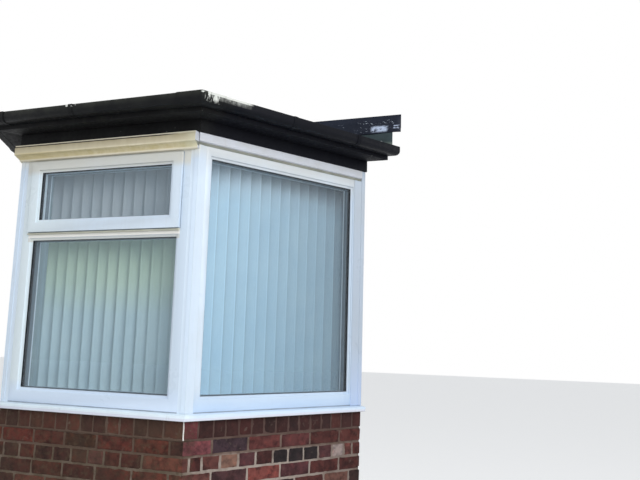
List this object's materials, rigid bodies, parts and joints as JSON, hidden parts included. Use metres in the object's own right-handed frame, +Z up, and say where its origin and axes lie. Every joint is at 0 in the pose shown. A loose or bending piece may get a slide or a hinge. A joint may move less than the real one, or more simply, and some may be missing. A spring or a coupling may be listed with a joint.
{
  "type": "bay window",
  "caption": "Three-sided splayed bay window on a brick base, with white framed glazing, a moulded head trim, dark eaves with gutter and a low felted roof.",
  "frame": {"origin": "on the house-wall face, at ground level, in the middle of the bay: the lowest back edge of the floor slab", "axes": "+X to the right along the house wall as seen from outside, +Y into the wall (the bay stands out towards -Y), +Z up"},
  "size_m": [2.719, 1.1929, 2.8565],
  "materials": {
    "brick": "rough red-brown stock brick with grey-beige mortar",
    "concrete": "smooth concrete",
    "plaster": "painted plaster, matt",
    "painted_wood": "white painted softwood, satin",
    "raw_wood": "sawn softwood, matt",
    "upvc_sill": "white plastic, lightly weathered",
    "upvc_frame": "white plastic, satin gloss",
    "upvc_trim": "cream, aged plastic trim, satin",
    "glass": "clear float glass",
    "spacer": "black spacer and gasket, matt",
    "eaves_black": "black boards, weathered",
    "gutter_black": "black plastic, weathered, satin",
    "felt": "grey-green mineral felt",
    "flashing": "black bitumen-painted metal flashing",
    "blind_rail": "white plastic rail",
    "blind_fabric": "white stiffened woven fabric"
  },
  "bodies": {
    "root": {"front_wall": "brick", "left_wall": "brick", "right_wall": "brick", "edge_course": "brick", "floor_slab": "concrete", "plaster_lining": "plaster", "skirting_boards": "painted_wood", "window_boards": "painted_wood", "front_sill": "upvc_sill", "left_sill": "upvc_sill", "right_sill": "upvc_sill", "front_frame": "upvc_frame", "left_frame": "upvc_frame", "right_frame": "upvc_frame", "glazing_gaskets": "spacer", "corner_posts": "upvc_frame", "cover_strips": "upvc_frame", "opener_sash": "upvc_frame", "opener_handle": "upvc_frame", "glazing_beads": "upvc_frame", "front_glass": "glass", "opener_glass": "glass", "left_glass": "glass", "right_glass": "glass", "spacer_bars": "spacer", "head_trims": "upvc_trim", "head_beams": "raw_wood", "wall_plate": "raw_wood", "ceiling_board": "plaster", "frieze_boards": "eaves_black", "soffit_boards": "eaves_black", "fascia_boards": "eaves_black", "roof_deck": "raw_wood", "roof_felt": "felt", "cover_flashing": "flashing", "front_gutter": "gutter_black", "left_gutter": "gutter_black", "right_gutter": "gutter_black", "gutter_corners": "gutter_black", "gutter_clips": "gutter_black", "blind_rails": "blind_rail", "blind_brackets": "blind_rail", "front_blind": "blind_fabric", "left_blind": "blind_fabric", "right_blind": "blind_fabric"}
  },
  "joints": []
}
